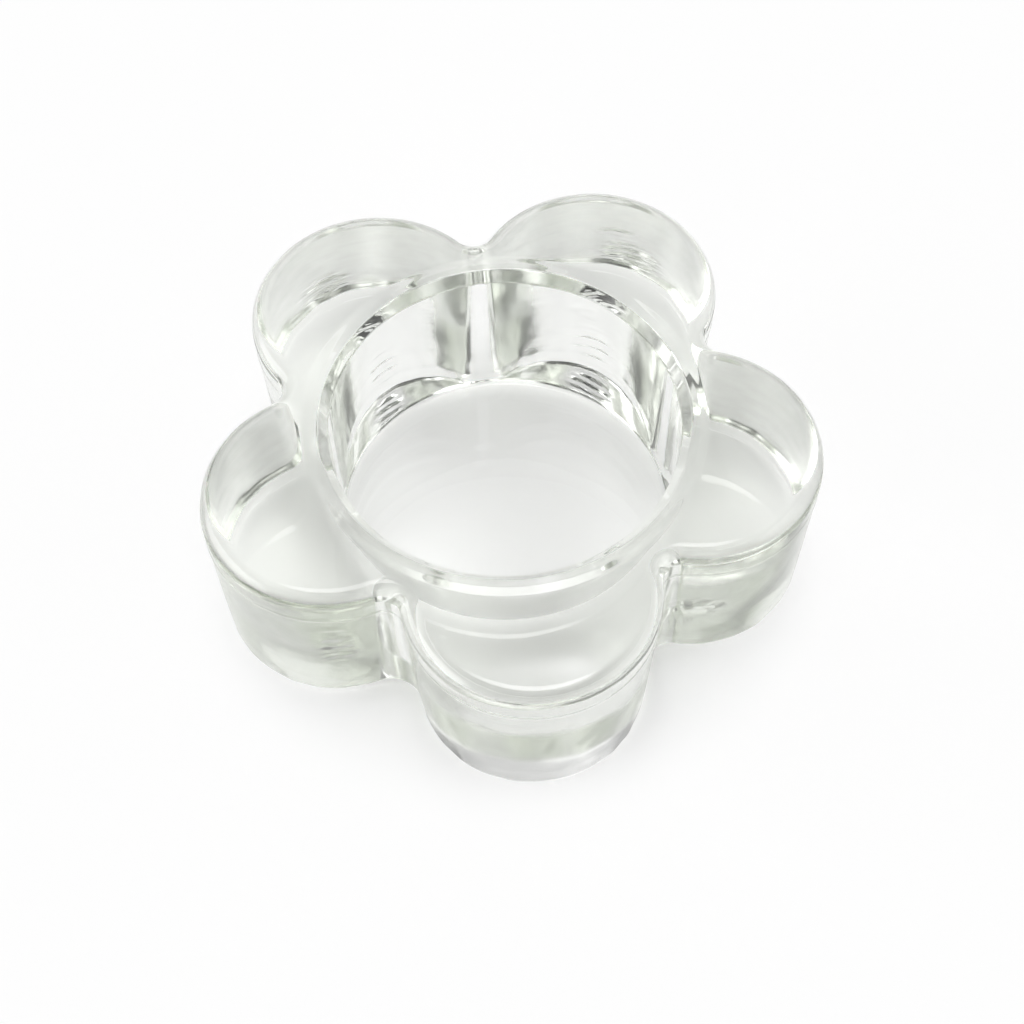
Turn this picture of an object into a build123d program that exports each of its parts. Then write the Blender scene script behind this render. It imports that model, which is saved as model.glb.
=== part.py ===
# Flower-shaped glass candle holder: one solid pressing, with round petals about a round well.
# Millimetres. The origin is on the flower's axis, in the plane that the base stands on.
# +Z is up, the well opens upwards, and the front petal points along -Y.

from build123d import *
from math import atan2, cos, degrees, radians, sin
import os

# The well takes the metal cup of a tea light, loose enough to lift it out again.
candle_cup_diameter = 39.0
cup_clearance = 1.5  # all round
well_rim_bevel = 1.35
well_corner_bevel = 1.2
well_floor_thickness = 3.4

# The flower in plan, at the level of its flat top.
petal_count = 5
front_petal_angle = -90
petal_reach = 17.2  # from the well's wall to a petal's tip
valley_land = 3.0  # flat glass between the well's bevelled rim and the rolled edge of a valley
valley_radius = 2.1  # the soft blend where two petals meet

# The block of glass.
height = 24.5
mould_draft = 4.0  # degrees: the sides close in towards the base
top_edge_radius = 2.1
base_edge_bevel = 1.1

well_radius = candle_cup_diameter / 2 + cup_clearance
well_depth = height - well_floor_thickness
top_plane = Plane.XY.offset(height)

# A valley's blend is centred on the line midway between two petals. The petal's circle touches
# the blends on both sides and reaches out to the tip, which settles its centre and its radius.
petal_turn = 360 / petal_count
half_turn = radians(petal_turn / 2)
tip_radius = well_radius + petal_reach
valley_bottom_radius = well_radius + well_rim_bevel + valley_land + top_edge_radius
blend_pitch_radius = valley_bottom_radius + valley_radius
outer_blend_radius = tip_radius + valley_radius
petal_pitch_radius = (outer_blend_radius**2 - blend_pitch_radius**2) / (
    2 * (outer_blend_radius - blend_pitch_radius * cos(half_turn))
)
petal_radius = tip_radius - petal_pitch_radius
petal_sweep = 2 * degrees(
    atan2(
        blend_pitch_radius * sin(half_turn),
        blend_pitch_radius * cos(half_turn) - petal_pitch_radius,
    )
)
blend_sweep = petal_sweep - petal_turn


def from_axis(radius, angle):
    # The point at that radius and that angle about the flower's axis.
    return Vector(radius, 0).rotate(Axis.Z, angle)


with BuildPart() as flower_block:
    # The outline is one arc for each petal and one for each valley, all tangent.
    with BuildSketch(top_plane):
        with BuildLine():
            for petal in range(petal_count):
                petal_angle = front_petal_angle + petal * petal_turn
                petal_end = petal_angle + petal_sweep / 2
                petal_centre = from_axis(petal_pitch_radius, petal_angle)
                blend_centre = from_axis(blend_pitch_radius, petal_angle + petal_turn / 2)
                CenterArc(petal_centre, petal_radius, petal_end - petal_sweep, petal_sweep)
                CenterArc(blend_centre, valley_radius, petal_end + 180, -blend_sweep)
        make_face()
    extrude(amount=-height)
    draft(flower_block.faces().filter_by(GeomType.CYLINDER), top_plane, -mould_draft)

    # Glass has no sharp edge: the rolled top follows petals and valleys, and the base is eased.
    fillet(flower_block.faces().sort_by(Axis.Z)[-1].edges(), top_edge_radius)
    chamfer(flower_block.faces().sort_by(Axis.Z)[0].edges(), base_edge_bevel)

    # The plunger leaves a straight round well, with a bevelled rim and a bevel round its floor.
    with Locations(top_plane):
        Hole(well_radius, well_depth)
    well_wall = flower_block.faces().filter_by(GeomType.CYLINDER)
    chamfer(well_wall.edges().group_by(Axis.Z)[-1], well_rim_bevel)
    well_wall = flower_block.faces().filter_by(GeomType.CYLINDER)
    chamfer(well_wall.edges().group_by(Axis.Z)[0], well_corner_bevel)

flower_block.part.label = "glass_flower"

os.makedirs("parts", exist_ok=True)
export_step(flower_block.part, "parts/glass_flower.step")
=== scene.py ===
# Flower-shaped glass candle holder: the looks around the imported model. Metres, +Z up.
import math

import bpy
import numpy as np
from mathutils import Matrix, Vector


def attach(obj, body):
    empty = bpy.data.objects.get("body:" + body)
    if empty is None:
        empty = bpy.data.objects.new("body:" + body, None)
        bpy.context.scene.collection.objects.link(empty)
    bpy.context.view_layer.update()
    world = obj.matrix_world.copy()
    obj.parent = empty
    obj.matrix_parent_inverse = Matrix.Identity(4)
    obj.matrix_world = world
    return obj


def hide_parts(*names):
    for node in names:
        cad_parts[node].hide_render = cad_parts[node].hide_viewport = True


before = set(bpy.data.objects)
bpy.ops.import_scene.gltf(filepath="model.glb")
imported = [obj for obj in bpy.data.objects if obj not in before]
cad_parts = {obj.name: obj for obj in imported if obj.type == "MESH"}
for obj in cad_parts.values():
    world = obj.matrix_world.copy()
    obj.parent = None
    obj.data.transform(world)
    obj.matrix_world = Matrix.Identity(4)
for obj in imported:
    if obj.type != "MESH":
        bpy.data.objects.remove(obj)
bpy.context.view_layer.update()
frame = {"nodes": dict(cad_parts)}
scene = bpy.context.scene
print("frame loaded:", ", ".join(frame["nodes"]))

mm = 0.001

# The camera was worked out from the outline, rim and base lines in the photograph.
cameraSettings = {
    "azimuth": -97.04,  # degrees from +X to the camera: a little to the left of the front petal
    "elevation": 58.1,  # degrees above the table
    "roll": -0.69,  # degrees
    "distance": 326.6 * mm,  # to the middle of the base
    "lens": 90.84,  # millimetres
    "sensor": 36,  # millimetres
    "aimRight": 0.74 * mm,  # how far beside the middle of the base the camera aims
    "aimUp": 1.96 * mm,
}


def placeCamera(look):
    # The camera stands at its distance along the way from the base, and turns to the point beside
    # the middle of the base that it aims at.
    azimuth, elevation = math.radians(look["azimuth"]), math.radians(look["elevation"])
    flat = math.cos(elevation)
    away = Vector((flat * math.cos(azimuth), flat * math.sin(azimuth), math.sin(elevation)))
    right = Vector((-math.sin(azimuth), math.cos(azimuth), 0))
    up = away.cross(right)
    place = away * look["distance"]
    aim = right * look["aimRight"] + up * look["aimUp"]
    data = bpy.data.cameras.new("camera")
    data.lens = look["lens"]
    data.sensor_width = look["sensor"]
    camera = bpy.data.objects.new("camera", data)
    scene.collection.objects.link(camera)
    turn = (place - aim).to_track_quat("Z", "Y").to_matrix()
    roll = Matrix.Rotation(math.radians(look["roll"]), 3, "Z")
    camera.matrix_world = Matrix.Translation(place) @ (turn @ roll).to_4x4()
    scene.camera = camera
    print("camera placed")


class Wire:
    # An output of a node. Arithmetic on it adds Math nodes to the same recipe.
    def __init__(self, recipe, socket):
        self.recipe = recipe
        self.socket = socket

    def maths(self, operation, *values):
        return self.recipe.add("ShaderNodeMath", {"operation": operation}, dict(enumerate(values)))

    def out(self, name):
        return Wire(self.recipe, self.socket.node.outputs[name])

    def __add__(self, other):
        return self.maths("ADD", self, other)

    def __sub__(self, other):
        return self.maths("SUBTRACT", self, other)

    def __rsub__(self, other):
        return self.maths("SUBTRACT", other, self)

    def __mul__(self, other):
        return self.maths("MULTIPLY", self, other)

    __radd__ = __add__
    __rmul__ = __mul__


class Recipe:
    # The node tree of a material or of the world, and the one way of adding a node to it.
    def __init__(self, owner):
        owner.use_nodes = True
        self.tree = owner.node_tree
        self.tree.nodes.clear()

    def add(self, kind, settings=None, sockets=None):
        node = self.tree.nodes.new(kind)
        for name, value in (settings or {}).items():
            setattr(node, name, value)
        for key, value in (sockets or {}).items():
            if isinstance(value, Wire):
                self.tree.links.new(value.socket, node.inputs[key])
            else:
                node.inputs[key].default_value = value
        return Wire(self, node.outputs[0]) if len(node.outputs) else None

    def ramp(self, value, start, stop):
        # 0 at start and 1 at stop, smooth between them
        edges = {"Value": value, "From Min": start, "From Max": stop}
        return self.add("ShaderNodeMapRange", {"interpolation_type": "SMOOTHSTEP"}, edges)

    def blend(self, share, first, second):
        # colour mix: first where share is 0, second where it is 1
        return self.add("ShaderNodeMix", {"data_type": "RGBA"}, {0: share, 6: first, 7: second}).out(2)


# The glass, read as the real pressing: sizes in metres, at the level of the flat top.
glassShape = {
    "petals": 5,
    "frontAngle": -90.0,  # degrees
    "tipRadius": 38.2 * mm,
    "valleyRadius": 27.45 * mm,  # from the axis to the bottom of a valley
    "valleyBlend": 2.1 * mm,
    "height": 24.5 * mm,
    "draft": 4.0,  # degrees
    "topRounding": 2.1 * mm,
    "baseRounding": 1.7 * mm,
    "wellRadius": 21.0 * mm,
    "wellTaper": 2.0,  # degrees: the plunger draws out easily
    "rimWidth": 1.2 * mm,  # the rim is a soft bevel between two roundings
    "rimDrop": 1.2 * mm,
    "rimRounding": 0.55 * mm,
    "floorRounding": 0.8 * mm,
    "wellFloor": 3.4 * mm,
    "partingLevel": 19.9 * mm,  # where the mould's ring meets its body
    "partingRidge": 0.05 * mm,
    "partingHalfWidth": 0.22 * mm,
    "partingSpan": 2.0,  # how many half widths the ridge's own rings reach up and down
    "edgeWobble": 0.16 * mm,  # how unevenly the base edge has run, always inwards
    "wobbleReach": 3.0 * mm,  # up the wall
    "wobbleSines": (12, 5),  # how many sines make the surface, and the seed that scatters them
    "waveDepth": 0.035 * mm,  # soft waves all over the fire-polished skin, always inwards
    "waveSizes": (6.0 * mm, 15.0 * mm),
    "waveSines": (24, 11),
    "dimpleDepth": 0.03 * mm,  # shorter waves on the sides, where the mould chilled the glass
    "dimpleSizes": (2.4 * mm, 5.0 * mm),  # the base edge's wobble has these sizes too
    "dimpleSines": (40, 12),
    "chillPitch": 1.8 * mm,  # level ripples in a few places, where the glass set first
    "chillDepth": 0.13 * mm,
    "chillSkew": 0.8,  # how much steeper each ripple is on its lower side, like a lap
    "chillTop": 9.0 * mm,  # the rings are close up to here
    "chillRoll": (9.0 * mm, 20.0 * mm),  # how slowly the ripples rise and fall round the flower
    "chillFlow": (1, 1, 0.3),  # the roll is this much slower up the wall than round the flower
    "chillTurn": math.pi,  # how far the roll shifts the ripples at most, in radians
    "chillSines": (12, 13),
    "crinkleDepth": 0.05 * mm,  # short creases among the ripples
    "crinkleSizes": (1.6 * mm, 3.4 * mm),
    "crinkleSines": (24, 14),
    "chillCore": 0.5,  # the share of a mark's half size inside which it is full
    "chillMarks": [  # where the ripples are: azimuths in degrees
        {"azimuth": 56, "level": 4.6 * mm, "halfWidth": 5.5 * mm, "halfHeight": 4.0 * mm},
        {"azimuth": 122, "level": 4.6 * mm, "halfWidth": 4.5 * mm, "halfHeight": 4.0 * mm},
        {"azimuth": 59, "level": 10.5 * mm, "halfWidth": 3.5 * mm, "halfHeight": 1.6 * mm},
        {"azimuth": -137, "level": 14.0 * mm, "halfWidth": 2.0 * mm, "halfHeight": 6.0 * mm},
        {"azimuth": -47, "level": 11.5 * mm, "halfWidth": 3.0 * mm, "halfHeight": 2.6 * mm},
    ],
    "lipHeight": 0.22 * mm,  # the flat top lies this much below the lip round the well
    "lipCrest": 23.0 * mm,
    "lipFoot": 24.5 * mm,
    "petalSteps": 78,  # the mesh: rings and columns of each part of the surface
    "valleySteps": 18,
    "roundSteps": 12,
    "chillSteps": 36,
    "wallSteps": 28,
    "partingSteps": 8,
    "bevelSteps": 5,
    "wellSteps": 24,
    "flatSteps": 10,
    "lipSteps": 10,
    "support": 0.06 * mm,  # a last ring on each flat, close to its rounding, keeps the flat flat
}


def petalPlan(g):
    # One arc for each petal and one for each valley. A ring point is the arc's centre, plus the
    # arc's signed radius less the inset, along the outward direction of that point.
    half = math.pi / g["petals"]
    blendPitch = g["valleyRadius"] + g["valleyBlend"]
    outer = g["tipRadius"] + g["valleyBlend"]
    petalPitch = (outer**2 - blendPitch**2) / (2 * (outer - blendPitch * math.cos(half)))
    petalRadius = g["tipRadius"] - petalPitch
    sweep = math.atan2(blendPitch * math.sin(half), blendPitch * math.cos(half) - petalPitch)
    centres, radii, directions = [], [], []
    for petal in range(g["petals"]):
        middle = math.radians(g["frontAngle"]) + 2 * half * petal
        out = middle + np.linspace(-sweep, sweep, g["petalSteps"], endpoint=False)
        back = np.linspace(middle + sweep, middle + 2 * half - sweep, g["valleySteps"], endpoint=False)
        petalCentre = petalPitch * np.array([math.cos(middle), math.sin(middle)])
        blendCentre = blendPitch * np.array([math.cos(middle + half), math.sin(middle + half)])
        centres += [np.tile(petalCentre, (len(out), 1)), np.tile(blendCentre, (len(back), 1))]
        radii += [np.full(len(out), petalRadius), np.full(len(back), -g["valleyBlend"])]
        directions += [out, back]
    return np.vstack(centres), np.concatenate(radii), np.concatenate(directions)


def easing(values, start, stop):
    # 0 up to start, 1 from stop on, and the smooth cubic 3t^2 - 2t^3 between them.
    t = np.clip((values - start) / (stop - start), 0, 1)
    return t * t * (3 - 2 * t)


def manySines(places, sizes, count, seed):
    # A rolling surface between -1 and 1: the mean of sines that run in chance directions, with
    # wavelengths between the two sizes, stretched by the square root of twice their number.
    chance = np.random.default_rng(seed)
    directions = chance.normal(size=(count, 3))
    directions /= np.linalg.norm(directions, axis=1)[:, None]
    rates = 2 * math.pi / chance.uniform(*sizes, count)
    starts = chance.uniform(0, 2 * math.pi, count)
    phases = places @ (directions * rates[:, None]).T + starts
    return np.clip(np.sin(phases).mean(axis=-1) * math.sqrt(2 * count) / 2, -1, 1)


def rounding(start, stop, steps):
    # Even steps of angle over a rounded edge, in radians.
    return np.linspace(math.radians(start), math.radians(stop), steps + 1)


def flowerSurface(g):
    # Rows of rings: each ring is the plan at one inset and one height, or a circle in the well.
    centres, radii, angles = petalPlan(g)
    outward = np.stack([np.cos(angles), np.sin(angles)], axis=1)
    sites = np.column_stack([centres + radii[:, None] * outward, np.zeros(len(radii))])
    wobble = g["edgeWobble"] * (manySines(sites, g["dimpleSizes"], *g["wobbleSines"]) + 1) / 2

    def planRing(inset, wobbleShare=0.0):
        return centres + (radii - inset - wobble * wobbleShare)[:, None] * outward

    tilt = math.radians(g["draft"])
    height, top, base = g["height"], g["topRounding"], g["baseRounding"]
    rings = []

    def add(points, level):
        rings.append(np.column_stack([points, np.full(len(points), level)]))

    # wall and roundings: the arc's centre stands one radius inside the leaning wall
    baseInset = math.tan(tilt) * height
    baseCentre = baseInset - math.tan(tilt) * base + base / math.cos(tilt)
    topCentre = math.tan(tilt) * top + top / math.cos(tilt)
    standing = planRing(baseCentre, 1)
    for share in np.linspace(0, 1, g["flatSteps"])[1:-1]:
        add(standing * share, 0)
    add(planRing(baseCentre + g["support"], 1), 0)
    for a in rounding(90, math.degrees(tilt), g["roundSteps"]):
        add(planRing(baseCentre - base * math.cos(a), 1), base - base * math.sin(a))
    lowest = base - base * math.sin(tilt)
    highest = height - top - top * math.sin(tilt)
    spread = np.linspace(-g["partingSpan"], g["partingSpan"], g["partingSteps"] + 1)
    ridge = g["partingLevel"] + g["partingHalfWidth"] * spread
    close = np.linspace(lowest, g["chillTop"], g["chillSteps"] + 1)[1:]
    even = np.linspace(g["chillTop"], highest, g["wallSteps"] + 1)[1:-1]
    for level in np.sort(np.concatenate([close, even, ridge])):
        # the ridge is a bell: its height times e to minus the square of the way from its middle
        bell = math.exp(-(((level - g["partingLevel"]) / g["partingHalfWidth"]) ** 2))
        fading = 1 - easing(level, lowest, lowest + g["wobbleReach"])
        add(planRing(math.tan(tilt) * (height - level) - g["partingRidge"] * bell, fading), level)
    for a in rounding(-math.degrees(tilt), 90, g["roundSteps"]):
        add(planRing(topCentre - top * math.cos(a)), height - top + top * math.sin(a))
    # flat top: straight lines from the petals in to the well's rim
    edge = planRing(topCentre)
    spoke = edge / np.linalg.norm(edge, axis=1)[:, None]
    well, rim, corner, floor = g["wellRadius"], g["rimRounding"], g["floorRounding"], g["wellFloor"]
    # The well in section: flat top, bevel, leaning wall and floor, with an arc at each corner. An
    # arc starts and ends on its two straight sides, at the radius times the tangent of half its turn.
    lean = math.radians(g["wellTaper"])
    bevel = math.atan2(g["rimDrop"], g["rimWidth"])
    foot = height - g["rimDrop"]
    footReach = well - math.tan(lean) * (height - floor - g["rimDrop"])
    corners = [
        (well + g["rimWidth"], height, 0, bevel, rim, g["roundSteps"]),
        (well, foot, bevel, math.pi / 2 - lean, rim, g["roundSteps"]),
        (footReach, floor, math.pi / 2 - lean, 0, corner, g["roundSteps"]),
    ]
    section = []
    for reach, level, before, after, radius, steps in corners:
        share = radius * math.tan(abs(after - before) / 2)
        start = np.array([reach + share * math.cos(before), level + share * math.sin(before)])
        side = math.copysign(1, after - before)
        headings = np.linspace(before, after, steps + 1)
        turned = np.column_stack(
            [np.sin(headings) - math.sin(before), math.cos(before) - np.cos(headings)]
        )
        section.append(start - side * radius * turned)
    topArc, wallArc, floorArc = section
    add(planRing(topCentre + g["support"]), height)
    for share in np.linspace(0, 1, g["flatSteps"])[1:-1]:
        add(edge * (1 - share) + spoke * g["lipFoot"] * share, height)
    for reach in np.linspace(g["lipFoot"], g["lipCrest"], g["lipSteps"] + 1):
        add(spoke * reach, height)
    add(spoke * (topArc[0, 0] + g["support"]), height)
    bevelLine = np.linspace(topArc[-1], wallArc[0], g["bevelSteps"] + 1)[1:-1]
    wallLine = np.linspace(wallArc[-1], floorArc[0], g["wellSteps"] + 1)[1:-1]
    for reach, level in np.vstack([topArc, bevelLine, wallArc, wallLine, floorArc]):
        add(spoke * reach, level)
    add(spoke * (floorArc[-1, 0] - g["support"]), floor)
    for share in np.linspace(1, 0, g["flatSteps"])[1:-1]:
        add(spoke * floorArc[-1, 0] * share, floor)
    return np.stack(rings)


leastLength = 1e-12  # keeps a normal without a length from being divided by nothing


def firePolish(rings, g):
    # Sinks each point along the skin's own normal, which is the cross product of the steps to
    # the next column and to the next ring. The flat base stays as it is. Also gives, for each
    # point, how far it lies inside a chill mark: 0 outside, 1 in its middle.
    across = np.roll(rings, -1, axis=1) - np.roll(rings, 1, axis=1)
    along = np.gradient(rings, axis=0)
    normals = np.cross(across, along)
    normals /= np.maximum(np.linalg.norm(normals, axis=-1), leastLength)[..., None]
    reach, level = np.hypot(rings[..., 0], rings[..., 1]), rings[..., 2]
    side = easing(reach, g["wellRadius"] + g["rimWidth"], g["wellRadius"] + 2 * g["rimWidth"])
    side = side * (1 - easing(level, g["height"] - g["topRounding"], g["height"]))
    waves = g["waveDepth"] * (manySines(rings, g["waveSizes"], *g["waveSines"]) + 1) / 2
    dimples = g["dimpleDepth"] * (manySines(rings, g["dimpleSizes"], *g["dimpleSines"]) + 1) / 2 * side
    # Level ripples: the rise is a full turn for each pitch of height, and a slow roll round the
    # flower shifts it. A ripple is the sine of the rise plus the skew times the rise's own sine.
    roll = manySines(rings * g["chillFlow"], g["chillRoll"], *g["chillSines"])
    rise = 2 * math.pi * level / g["chillPitch"] + g["chillTurn"] * roll
    lines = (np.sin(rise + g["chillSkew"] * np.sin(rise)) + 1) / 2
    crinkles = (manySines(rings, g["crinkleSizes"], *g["crinkleSines"]) + 1) / 2
    azimuth = np.degrees(np.arctan2(rings[..., 1], rings[..., 0]))
    marked = np.zeros_like(level)
    for mark in g["chillMarks"]:
        # each mark is an oval on the side, full inside its core and gone at its edge
        beside = np.radians((azimuth - mark["azimuth"] + 180) % 360 - 180) * reach
        above = level - mark["level"]
        oval = np.hypot(beside / mark["halfWidth"], above / mark["halfHeight"])
        marked = np.maximum(marked, 1 - easing(oval, g["chillCore"], 1))
    chill = (g["chillDepth"] * lines + g["crinkleDepth"] * crinkles) * marked * side
    standing = easing(level, 0, g["baseRounding"])
    sunk = rings - normals * ((waves + dimples + chill) * standing)[..., None]
    # the lip: what is farther out than its foot lies lower, in proportion to the height
    sunk[..., 2] -= g["lipHeight"] * easing(reach, g["lipCrest"], g["lipFoot"]) * level / g["height"]
    return sunk, marked * side


def closedMesh(name, rings, lowPole, highPole):
    # A tube of rings, each joined to the next, closed by a fan of triangles at either end.
    rows, columns = rings.shape[:2]
    points = np.vstack([rings.reshape(-1, 3), lowPole, highPole])
    here = np.arange(columns)
    there = np.roll(here, -1)
    row = np.arange(rows - 1)[:, None] * columns
    quads = np.stack([row + here, row + there, row + columns + there, row + columns + here], axis=-1)
    last = (rows - 1) * columns
    lowFan = np.stack([np.full(columns, rows * columns), there, here], axis=-1)
    highFan = np.stack([np.full(columns, rows * columns + 1), last + here, last + there], axis=-1)
    mesh = bpy.data.meshes.new(name)
    faces = quads.reshape(-1, 4).tolist() + lowFan.tolist() + highFan.tolist()
    mesh.from_pydata(points.tolist(), [], faces)
    mesh.validate()
    mesh.shade_smooth()
    piece = bpy.data.objects.new(name, mesh)
    scene.collection.objects.link(piece)
    return piece


def glassFlower():
    # The mesh keeps the chill marks as an attribute, so that the finish can leave them bright.
    g = glassShape
    rings, marked = firePolish(flowerSurface(g), g)
    piece = closedMesh("pressed_glass_flower", rings, (0, 0, 0), (0, 0, rings[-1, :, 2].mean()))
    chilled = piece.data.attributes.new("chilled", "FLOAT", "POINT")
    chilled.data.foreach_set("value", np.append(marked.ravel(), (0, 0)))  # none at the two poles
    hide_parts("glass_flower")
    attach(piece, "root")
    print("glass made:", len(piece.data.polygons), "faces")
    return piece


glassFinish = {
    "index": 1.52,
    "tint": (0.85, 0.88, 0.81, 1),  # a metre absorbs the density times (1 less this colour)
    "tintDensity": 16.0,
    "sideRoughness": 0.18,  # where the mould touched, the glass is a little dull
    "sideTop": (0.5, 2.0),  # it grows dull this far below the flat top, in top roundings
    "sideFoot": 0.5,  # and it is dull from this far above the base, in base roundings
    "edgeRoughness": 0.25,  # round the base, where it has stood and slid
    "edgeReach": (1.8 * mm, 0.9 * mm),  # where that begins, coming down, and where it is full
    "edgeFoot": 0.125,  # and from where it fades to the bright flat base, in base roundings
    "rippleSizes": (5.0 * mm, 0.9 * mm),  # along and up the sides
    "rippleDepth": 0.012 * mm,
    "rippleDetail": 2.0,
}


def clearGlass():
    # Clear glass, dull on the sides outside the chill marks and a little duller round the base.
    f, g = glassFinish, glassShape
    material = bpy.data.materials.new("clear pressed glass")
    recipe = Recipe(material)
    place = recipe.add("ShaderNodeTexCoord").out("Object")
    across = recipe.add("ShaderNodeSeparateXYZ", None, {0: place})
    level = across.out("Z")
    # the reach from the axis: the root of x times x plus y times y
    spread = across * across + across.out("Y") * across.out("Y")
    reach = spread.maths("SQRT", spread)
    outside = recipe.ramp(reach, g["wellRadius"] + g["rimWidth"], g["wellRadius"] + 2 * g["rimWidth"])
    upper, lower = (g["height"] - share * g["topRounding"] for share in f["sideTop"])
    low = recipe.ramp(level, upper, lower)
    side = outside * low * recipe.ramp(level, 0, f["sideFoot"] * g["baseRounding"])
    edge = outside * recipe.ramp(level, *f["edgeReach"])
    edge = edge * recipe.ramp(level, 0, f["edgeFoot"] * g["baseRounding"])
    bright = 1 - recipe.add("ShaderNodeAttribute", {"attribute_name": "chilled"}).out("Fac")
    extra = f["edgeRoughness"] - f["sideRoughness"]
    dullness = (side * f["sideRoughness"] + edge * extra) * bright
    long, short = f["rippleSizes"]
    stretched = recipe.add(
        "ShaderNodeMapping",
        {"vector_type": "TEXTURE"},
        {"Vector": place, "Scale": (long, long, short)},
    )
    ripples = recipe.add(
        "ShaderNodeTexNoise",
        None,
        {"Vector": stretched, "Scale": 1.0, "Detail": f["rippleDetail"]},
    )
    skin = recipe.add("ShaderNodeBump", None, {"Height": ripples * side, "Distance": f["rippleDepth"]})
    surface = recipe.add(
        "ShaderNodeBsdfPrincipled",
        None,
        {
            "Base Color": (1, 1, 1, 1),
            "Roughness": dullness,
            "IOR": f["index"],
            "Transmission Weight": 1.0,
            "Normal": skin,
        },
    )
    body = recipe.add(
        "ShaderNodeVolumeAbsorption", None, {"Color": f["tint"], "Density": f["tintDensity"]}
    )
    recipe.add("ShaderNodeOutputMaterial", None, {"Surface": surface, "Volume": body})
    print("glass finish mixed")
    return material


floorSettings = {
    "size": 3.0,
    "gap": 0.2 * mm,  # the air under the glass
    "colour": (1, 1, 1, 1),  # of the paper
    "plain": (1, 1, 1, 1),  # of the plain white
    "seenShare": 0.2,  # how much of the seen floor is plain white, whatever falls on it
    "farShare": 0.93,  # the same, away from the glass
    "nearReach": 24 * mm,  # the share grows from here, measured from the axis of the flower
    "farReach": 42 * mm,  # and is full from here on
    "seenLevel": 1.0,  # the strength of the plain white
    "paintedCaustics": [  # painted light: soft ovals of plain white on the paper under the front petal, standing in for the light the petal gathers there
        {"middle": (4.6 * mm, -26.2 * mm), "half": (5.0 * mm, 2.4 * mm), "share": 0.9},
        {"middle": (0.0 * mm, -25.8 * mm), "half": (10.0 * mm, 2.8 * mm), "share": 0.45},
    ],
}


def paleFloor():
    # White paper that takes light and shadow. Where it is seen, and the farther out the more, a
    # share of plain white stands in for it.
    # Under the front petal, ovals of plain white are painted light, in place of the light that the
    # petal gathers on the paper.
    f = floorSettings
    bpy.ops.mesh.primitive_plane_add(size=f["size"], location=(0, 0, -f["gap"]))
    floor = bpy.context.object
    floor.name = "floor"
    material = bpy.data.materials.new("white sweep")
    recipe = Recipe(material)
    paper = recipe.add("ShaderNodeBsdfDiffuse", None, {"Color": f["colour"]})
    white = recipe.add("ShaderNodeEmission", None, {"Color": f["plain"], "Strength": f["seenLevel"]})
    path = recipe.add("ShaderNodeLightPath")
    glossy, through = path.out("Is Glossy Ray"), path.out("Is Transmission Ray")
    seen = path.maths("MAXIMUM", path.out("Is Camera Ray"), path.maths("MAXIMUM", glossy, through))
    place = recipe.add("ShaderNodeTexCoord").out("Object")
    reach = recipe.add("ShaderNodeVectorMath", {"operation": "LENGTH"}, {0: place}).out("Value")
    far = recipe.ramp(reach, f["nearReach"], f["farReach"])
    share = far * (f["farShare"] - f["seenShare"]) + f["seenShare"]
    # painted pool of light: each oval raises the share of plain white toward full, in place of the
    # light the petal gathers
    for light in f["paintedCaustics"]:
        # the length of (place less middle) over the half sizes: 0 at the middle, 1 at the edge
        wide, deep = light["half"]
        within = recipe.add(
            "ShaderNodeMapping",
            {"vector_type": "TEXTURE"},
            {"Vector": place, "Location": (*light["middle"], 0), "Scale": (wide, deep, 1)},
        )
        oval = recipe.add("ShaderNodeVectorMath", {"operation": "LENGTH"}, {0: within}).out("Value")
        share = share + (1 - share) * recipe.ramp(oval, 1, 0) * light["share"]
    shown = recipe.add("ShaderNodeMixShader", None, {0: seen * share, 1: paper, 2: white})
    recipe.add("ShaderNodeOutputMaterial", None, {"Surface": shown})
    floor.data.materials.append(material)
    print("floor laid")


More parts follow.
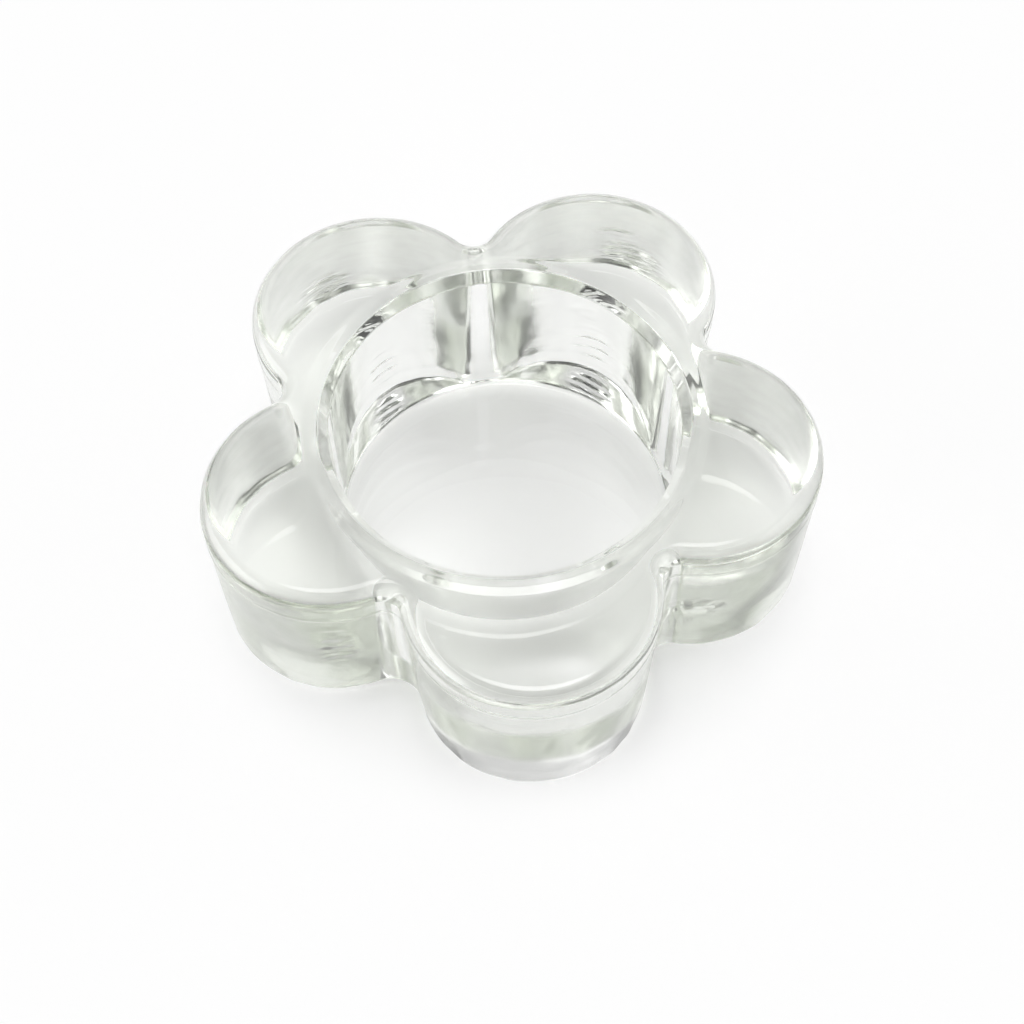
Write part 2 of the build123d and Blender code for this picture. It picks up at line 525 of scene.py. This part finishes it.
# The studio: a dim room with soft cards of light in it, and a wide dark one behind the camera.
# Angles are in degrees, and a card is given by its half width. Its edge is as wide as it is soft.
studioCards = {
    "room": (0.22, 0.22, 0.22, 1),
    "cards": [
        {"azimuth": 264, "elevation": 53, "half": 70, "soft": 40, "colour": (0.03, 0.03, 0.03, 1)},
        {"azimuth": 76, "elevation": 57, "half": 30, "soft": 24, "colour": (0.68, 0.68, 0.68, 1)},
        {"azimuth": 351, "elevation": 25, "half": 33, "soft": 12, "colour": (1.4, 1.4, 1.4, 1)},
        {"azimuth": 184, "elevation": 9, "half": 32, "soft": 12, "colour": (3.7, 3.7, 3.7, 1)},
        {"azimuth": 90, "elevation": 84, "half": 12, "soft": 6, "colour": (5.2, 5.2, 5.2, 1)},
        {"azimuth": 98, "elevation": 36, "half": 13, "soft": 14, "colour": (1.4, 1.4, 1.4, 1)},
    ],
}


def softStudio():
    s = studioCards
    world = bpy.data.worlds.new("soft studio")
    scene.world = world
    recipe = Recipe(world)
    toward = recipe.add("ShaderNodeTexCoord").out("Generated")
    colour = s["room"]
    for card in s["cards"]:
        azimuth, elevation = math.radians(card["azimuth"]), math.radians(card["elevation"])
        flat = math.cos(elevation)
        middle = (flat * math.cos(azimuth), flat * math.sin(azimuth), math.sin(elevation))
        nearness = recipe.add(
            "ShaderNodeVectorMath", {"operation": "DOT_PRODUCT"}, {0: toward, 1: middle}
        ).out("Value")
        inner = math.cos(math.radians(card["half"] - card["soft"] / 2))
        outer = math.cos(math.radians(card["half"] + card["soft"] / 2))
        colour = recipe.blend(recipe.ramp(nearness, outer, inner), colour, card["colour"])
    light = recipe.add("ShaderNodeBackground", None, {"Color": colour, "Strength": 1.0})
    recipe.add("ShaderNodeOutputWorld", None, {"Surface": light})
    print("studio lit")


lightPasses = {
    "glass": 20,  # how many surfaces of the glass a ray may meet
    "floor": 2,
}
scene.view_settings.view_transform = "Standard"
scene.cycles.blur_glossy = 0  # what shows in the glass is no softer than its own finish makes it
scene.cycles.max_bounces = lightPasses["glass"]
scene.cycles.diffuse_bounces = lightPasses["floor"]
scene.cycles.glossy_bounces = lightPasses["glass"]
scene.cycles.transmission_bounces = lightPasses["glass"]
placeCamera(cameraSettings)
flower = glassFlower()
flower.data.materials.append(clearGlass())
paleFloor()
softStudio()
